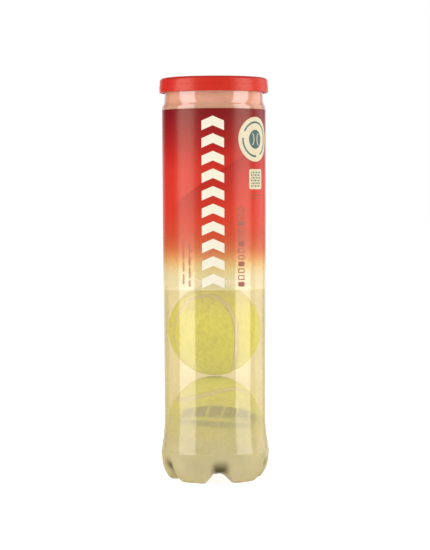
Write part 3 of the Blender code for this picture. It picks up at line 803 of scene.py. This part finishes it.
def make_tab_piece(material):
    """The ring-pull: a thin web with its edges curled into a bead round the outside and the loop."""
    nose_y, nose_r = RIVET_Y, 6.5 * MM
    ring_y, ring_r = -5.5 * MM, 10.5 * MM
    bead = (TAB_HIGH.z - TAB_LOW.z) / 2
    middle = TAB_LOW.z + bead
    outline = loop_round(nose_y, nose_r - bead, ring_y, ring_r - bead, 32)
    hole = loop_round(ring_y - 0.6 * MM, 6.8 * MM + 0.7 * bead,
                      ring_y + 0.8 * MM, 7.2 * MM + 0.7 * bead, 24)
    slot = soft_box(4.2 * MM, RIVET_Y - 4.4 * MM, RIVET_Y + 4.9 * MM, 1.5 * MM)
    web = plate("tab_web", [outline, slot, hole], middle - 0.3 * MM, 0.6 * MM, 0.15 * MM)
    outer_bead = rolled_edge("tab_bead", outline, middle, bead)
    inner_bead = rolled_edge("tab_loop", hole, middle, 0.75 * bead)
    mesh = united("ring_pull", [web, outer_bead, inner_bead])
    return add_piece("ring_pull", mesh, material, "pull_tab", ["pull_tab"])


def make_tongue_piece(material):
    outline = soft_box(3.6 * MM, RIVET_Y - 4.0 * MM, RIVET_Y + 4.5 * MM, 1.2 * MM)
    hole = [(1.9 * MM * math.cos(a), RIVET_Y + 1.9 * MM * math.sin(a))
            for a in (math.tau * i / 40 for i in range(40))]
    mesh = plate("tab_tongue", [outline, hole], TONGUE_LOW.z, TONGUE_HIGH.z - TONGUE_LOW.z, 0.1 * MM)
    return add_piece("riveted_tongue", mesh, material, "lid_panel", ["tab_tongue"])


# ---- the overcap ---------------------------------------------------------------------------
def make_cap_piece(material):
    """Moulded cap: a skirt with a shallow step, a rounded shoulder and a sunk top plate."""
    top, foot, outer = CAP_HIGH.z, CAP_LOW.z, CAP_RADIUS
    upper = outer - 0.22 * MM
    shoulder = 2.6 * MM
    inner = outer - 1.15 * MM
    sunk, rim = 1.0 * MM, 31.6 * MM
    under = top - 1.0 * MM
    profile = [
        (inner + 0.25 * MM, foot),
        *arc((outer - 0.35 * MM, foot + 0.35 * MM), 0.35 * MM, -90, 0, 5),
        *flowing([(outer, foot + 0.8 * MM), (outer, foot + 4.6 * MM),
                  (outer - 0.04 * MM, foot + 4.95 * MM), (upper + 0.03 * MM, foot + 5.15 * MM),
                  (upper, foot + 5.5 * MM)], 3),
        *arc((upper - shoulder, top - shoulder), shoulder, 0, 90, 12),
        *flowing([(rim + 1.7 * MM, top), (rim + 1.1 * MM, top - 0.12 * MM),
                  (rim + 0.3 * MM, top - sunk + 0.15 * MM), (rim - 0.3 * MM, top - sunk)], 4),
        *[(rim * (1 - k / 12), top - sunk) for k in range(1, 12)],
        (0.0, top - sunk),
        (0.0, under - sunk),
        (rim - 0.3 * MM, under - sunk),
        (rim + 0.9 * MM, under),
        (inner - 1.2 * MM, under),
        (inner - 0.3 * MM, under - 0.3 * MM),
        (inner, under - 1.2 * MM),
        (inner, foot + 2.6 * MM),
        *arc((inner + 0.1 * MM, foot + 1.5 * MM), 0.65 * MM, 120, 240, 6),
        (inner, foot + 0.5 * MM),
    ]
    mesh = turned("overcap", profile)
    return add_piece("snap_cap", mesh, material, "overcap", ["overcap"])


# ---- the balls -----------------------------------------------------------------------------
def seam_point(t):
    """A point of the seam on the unit sphere; t runs once round in a full turn."""
    a, b = (1 + SEAM_WAIST) / 2, (1 - SEAM_WAIST) / 2
    x = a * math.cos(t) + b * math.cos(3 * t)
    y = a * math.sin(t) - b * math.sin(3 * t)
    return Vector((x, y, 2 * math.sqrt(a * b) * math.sin(2 * t)))


def beside_seam(t, offset):
    """The seam's point moved sideways over the sphere, by an angle in radians, towards +Z's side."""
    step = 1e-4
    here = seam_point(t)
    along = (seam_point(t + step) - seam_point(t - step)).normalized()
    return (here + offset * here.cross(along)).normalized()


def ball_rotation(reach, roll, tilt, turn):
    """Turns the ball so that the point of its first felt at this reach faces the front, rolled
    about that point, which is then tilted down and turned towards +X; all in degrees."""
    reach, roll, tilt, turn = (math.radians(a) for a in (reach, roll, tilt, turn))
    along = Vector((-1, 1, 0)).normalized()
    facing = math.cos(reach) * Vector((0, 0, 1)) + math.sin(reach) * along
    length = math.cos(reach) * along - math.sin(reach) * Vector((0, 0, 1))
    at_front = Matrix((length, -facing, length.cross(-facing))).to_4x4()
    rolled = Matrix.Rotation(roll, 4, "Y") @ at_front
    return Matrix.Rotation(turn, 4, "Z") @ Matrix.Rotation(tilt, 4, "X") @ rolled


ALONG, ACROSS = Vector((-1, 1, 0)).normalized(), Vector((1, 1, 0)).normalized()
PRINT_REACH = math.radians(60)
STATIONS, STRIPS, INNER_STRIPS = 110, 84, 8  # STATIONS is per half of a felt


def felt_stations():
    """(reach, half width) down the felt's centre line from tip to tip, in radians."""
    edge = (SEAM_HALF_WIDTH + 0.05 * MM) / BALL_RADIUS
    half = []
    for i in range(STATIONS + 1):
        point = beside_seam(math.pi / 4 + math.pi / 2 * i / STATIONS, edge)
        half.append((math.atan2(point.dot(ALONG), point.z), math.asin(point.dot(ACROSS))))
    return [(-reach, width) for reach, width in reversed(half[1:])] + half


def felt_point(reach, sideways):
    line = Vector((0, 0, math.cos(reach))) + math.sin(reach) * ALONG
    return math.cos(sideways) * line + math.sin(sideways) * ACROSS


def nap_height(point, seed):
    """How far the felt's nap stands off the ball at this direction, in metres, from 0 down."""
    place = point * 33 + Vector((7.3 * seed, 3.1 * seed, 1.7 * seed))
    coarse = noise.noise(place * 0.55)
    fine = noise.noise(place * 1.3)
    return (-0.22 + 0.10 * coarse + 0.12 * fine) * MM


def make_felt_mesh(name, seed):
    """One dumb-bell felt: a napped outer face whose rim rolls down to the seam, a smooth inner
    face on the core, and the print row's own coordinates."""
    stations = felt_stations()
    last = len(stations) - 1
    corners, outer_rows, inner_rows = [], [], []
    roll = 1.5 * MM / BALL_RADIUS
    for i, (reach, width) in enumerate(stations):
        tip = i in (0, last)
        row = []
        for k in range(1 if tip else STRIPS + 1):
            share = 0 if tip else math.sin(math.pi / 2 * (2 * k / STRIPS - 1))
            point = felt_point(reach, share * width)
            from_tip = min(reach - stations[0][0], stations[last][0] - reach)
            inside = min(width * (1 - abs(share)), from_tip) / roll
            edge_drop = 0.75 * MM * (1 - math.sqrt(max(0.0, 1 - max(0.0, 1 - inside) ** 2)))
            radius = BALL_RADIUS + nap_height(point, seed) - edge_drop
            row.append(len(corners))
            corners.append(radius * point)
        outer_rows.append(row * (STRIPS + 1) if tip else row)
    for i, (reach, width) in enumerate(stations):
        tip = i in (0, last)
        row = []
        for k in range(1 if tip else INNER_STRIPS + 1):
            share = 0 if tip else 2 * k / INNER_STRIPS - 1
            row.append(len(corners))
            corners.append(FELT_INNER_RADIUS * felt_point(reach, share * width))
        inner_rows.append(row * (INNER_STRIPS + 1) if tip else row)
    faces = []
    for rows, strips, order in ((outer_rows, STRIPS, 1), (inner_rows, INNER_STRIPS, -1)):
        for low, high in zip(rows, rows[1:]):
            for k in range(strips):
                ring = (low[k], low[k + 1], high[k + 1], high[k])[::order]
                faces.append(without_repeats(ring))
    for i in range(last):
        for side, order in ((0, 1), (-1, -1)):
            ring = (outer_rows[i][side], outer_rows[i + 1][side],
                    inner_rows[i + 1][side], inner_rows[i][side])
            faces.append(without_repeats(ring[::order]))
    mesh = mesh_from(name, corners, faces)
    facing = felt_point(PRINT_REACH, 0)
    length = math.cos(PRINT_REACH) * ALONG - math.sin(PRINT_REACH) * Vector((0, 0, 1))
    for attribute, axis in (("print_u", length), ("print_v", -ACROSS)):
        values = mesh.attributes.new(attribute, "FLOAT", "POINT")
        numbers = []
        for vert in mesh.vertices:
            point = vert.co.normalized()
            flat = math.atan2(point.dot(axis), point.dot(facing)) * BALL_RADIUS / MM
            numbers.append(flat if point.dot(facing) > 0 else 999.0)
        values.data.foreach_set("value", numbers)
    return mesh


def make_seam_mesh(name):
    """The vulcanised cement in the channel: a closed cord with a low rounded top."""
    steps = 360
    low, high = FELT_INNER_RADIUS, BALL_RADIUS - 0.6 * MM
    half = SEAM_HALF_WIDTH / BALL_RADIUS
    section = [(-1, low), (-1, high - 0.35 * MM), (-0.8, high - 0.12 * MM), (-0.5, high),
               (0, high + 0.08 * MM), (0.5, high), (0.8, high - 0.12 * MM), (1, high - 0.35 * MM),
               (1, low)]
    corners, faces = [], []
    for i in range(steps):
        t = math.tau * i / steps
        wobble = 0.04 * MM * noise.noise(seam_point(t) * 30)
        corners += [(radius + wobble * (radius > low)) * beside_seam(t, share * half)
                    for share, radius in section]
    count = len(section)
    for i in range(steps):
        here, following = count * i, count * ((i + 1) % steps)
        for k in range(count):
            n = (k + 1) % count
            faces.append((here + k, here + n, following + n, following + k))
    return mesh_from(name, corners, faces)


def make_core_mesh(name):
    """A half of the hollow rubber core, its rim chamfered where the halves were cemented."""
    rim = 0.15 * MM
    inside = CORE_RADIUS - CORE_WALL
    outer = arc((0, 0), CORE_RADIUS, 1.2, 90, 24)[:-1]
    inner = arc((0, 0), inside, 90, 1, 16)[1:]
    profile = [(inside + 0.2 * MM, rim), (CORE_RADIUS - 0.5 * MM, rim), *outer,
               (0.0, CORE_RADIUS), (0.0, inside), *inner]
    return turned(name, profile, sides=72)


def make_balls(materials):
    swap = Matrix.Rotation(math.pi / 2, 4, "Z") @ Matrix.Rotation(math.pi, 4, (1, 1, 0))
    flip = Matrix.Rotation(math.pi, 4, "X")
    lobes_swapped = Matrix.Rotation(math.pi, 4, "Z")
    for number in BALLS:
        body = f"ball_{number}"
        place = Matrix.Translation(ball_centre(number)) @ ball_rotation(*BALL_LIES[number])
        # Balls 2 and 3 turn an unprinted lobe to the front and their one print to the back
        turned_away = number in (2, 3)
        as_made = Matrix.Identity(4)
        first = lobes_swapped if turned_away else as_made
        second_felt = "felt" if turned_away else "felt_printed"
        for part, mesh, material, turn, slot in (
            ("felt_a", make_felt_mesh(f"{body}_felt_a", number), "felt_printed", first, "felt"),
            ("felt_b", make_felt_mesh(f"{body}_felt_b", number + 0.5), second_felt, swap, "felt"),
            ("seam", make_seam_mesh(f"{body}_seam"), "seam", as_made, "seam"),
            ("core_a", make_core_mesh(f"{body}_core_a"), "core", as_made, "rubber"),
            ("core_b", make_core_mesh(f"{body}_core_b"), "core", flip, "rubber"),
        ):
            mesh.transform(place @ turn)
            add_piece(f"{body}_{part}_skin", mesh, materials[material], body, [f"{body}_{part}"],
                      smooth_angle=60)


def ball_centre(number):
    """The middle of the ball's core halves, which lie evenly about it."""
    boxes = [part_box(f"ball_{number}_core_{side}") for side in "ab"]
    low = Vector(map(min, *(b[0] for b in boxes)))
    high = Vector(map(max, *(b[1] for b in boxes)))
    return (low + high) / 2


def ball_radius():
    centre = ball_centre(1)
    return max((v.co - centre).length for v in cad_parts["ball_1_felt_a"].data.vertices)


BALL_RADIUS = ball_radius()


# ---- stage ---------------------------------------------------------------------------------
CAMERA_DISTANCE = 1.477
CAMERA_HEIGHT = 0.1995
CAMERA_LENS = 136.3
CAMERA_TILT = math.radians(2.118)
CAMERA_ROLL = math.radians(0.25)

# (name, degrees round from the front towards +X, width, radiance)
SOFTBOXES = (("left_softbox", -65, 0.84, 3.6), ("right_softbox", 67, 0.80, 3.6),
             ("rim_softbox", 120, 0.70, 1.15))
SOFTBOX_HEIGHT = 1.4
SOFTBOX_MIDDLE_Z = 0.55
SOFTBOX_DISTANCE = 1.1
FLOOR_REACH = 12.0


def make_camera():
    data = bpy.data.cameras.new("camera")
    data.lens = CAMERA_LENS
    data.sensor_width = 36
    data.clip_start, data.clip_end = 0.05, 50
    camera = bpy.data.objects.new("camera", data)
    camera.location = (0.0006, -CAMERA_DISTANCE, CAMERA_HEIGHT)
    camera.rotation_euler = (math.pi / 2 - CAMERA_TILT, CAMERA_ROLL, 0)
    bpy.context.scene.collection.objects.link(camera)
    bpy.context.scene.camera = camera


def make_softbox(name, turn, width, radiance):
    """A flat lamp facing the can's axis, out of the camera's sight."""
    data = bpy.data.lights.new(name, "AREA")
    data.shape = "RECTANGLE"
    data.size, data.size_y = width, SOFTBOX_HEIGHT
    data.energy = math.pi * radiance * width * SOFTBOX_HEIGHT
    data.color = (1.0, 0.95, 0.93)
    lamp = bpy.data.objects.new(name, data)
    lamp.location = around(SOFTBOX_DISTANCE, math.radians(turn), SOFTBOX_MIDDLE_Z)
    inwards = Vector((-lamp.location.x, -lamp.location.y, 0))
    lamp.rotation_euler = inwards.to_track_quat("-Z", "Y").to_euler()
    lamp.visible_camera = False
    bpy.context.scene.collection.objects.link(lamp)


def make_floor():
    mesh = bpy.data.meshes.new("floor")
    corners = [(x * FLOOR_REACH, y * FLOOR_REACH, 0) for x, y in ((-1, -1), (1, -1), (1, 1), (-1, 1))]
    mesh.from_pydata(corners, [], [(0, 1, 2, 3)])
    f = Finish("floor")
    paper = f.blend(f.speckle(3), (0.80, 0.80, 0.80), (0.84, 0.84, 0.84))
    glow = f.calc("MULTIPLY_ADD", f.node("LightPath").outputs["Is Camera Ray"], 0.48, 0.32)
    surface = f.node("BsdfPrincipled", {"Base Color": paper, "Roughness": 1.0, "Specular IOR Level": 0.0,
                                        "Emission Color": (1, 1, 1), "Emission Strength": glow})
    mesh.materials.append(f.done(surface))
    floor = bpy.data.objects.new("floor", mesh)
    floor.visible_glossy = False
    floor.visible_shadow = False
    bpy.context.scene.collection.objects.link(floor)


def make_world():
    """A white studio. Seen directly it is white all round; as a light it is brightest straight
    behind the can, dimmer beside it and dimmest in front, as beyond the edge of a paper sweep."""
    f = Finish("studio", bpy.data.worlds)
    depth = f.node("SeparateXYZ", {0: f.node("TexCoord").outputs["Generated"]}).outputs["Y"]
    lit = f.calc("ADD", f.rise(depth, -0.35, 0.35, 0.42, 0.08), f.rise(depth, 0.80, 0.92, 0.0, 0.80))
    strength = f.calc("MAXIMUM", lit, f.node("LightPath").outputs["Is Camera Ray"])
    background = f.node("Background", {"Color": (1, 1, 1), "Strength": strength})
    bpy.context.scene.world = f.done(background, "OutputWorld")


def make_stage():
    make_camera()
    make_world()
    make_floor()
    for lamp in SOFTBOXES:
        make_softbox(*lamp)
    scene = bpy.context.scene
    scene.view_settings.view_transform = "Standard"
    scene.cycles.transparent_max_bounces = 24


def main():
    make_stage()
    materials = {
        "felt": make_felt("felt", False),
        "felt_printed": make_felt("felt_printed", True),
        "seam": make_rubber("ball_seam", (0.70, 0.68, 0.52), 0.7),
        "core": make_rubber("core_rubber", (0.045, 0.043, 0.040), 0.75),
        "cream": make_ink("cream_ink", (0.79, 0.75, 0.61)),
        "buff": make_ink("buff_ink", (0.62, 0.56, 0.37)),
        "teal": make_ink("teal_ink", (0.05, 0.11, 0.11)),
        "brown": make_ink("brown_ink", (0.27, 0.060, 0.022)),
    }
    aluminium = make_aluminium()
    make_can(make_pet())
    make_label_piece(make_label())
    make_print(materials)
    make_end_ring_piece(aluminium)
    make_seal_piece(make_rubber("sealing_compound", (0.32, 0.31, 0.29), 0.6))
    make_panel_piece(aluminium)
    make_tongue_piece(aluminium)
    make_tab_piece(aluminium)
    make_cap_piece(make_plastic("red_polyethylene", (0.53, 0.019, 0.0095), 0.30))
    make_balls(materials)


main()
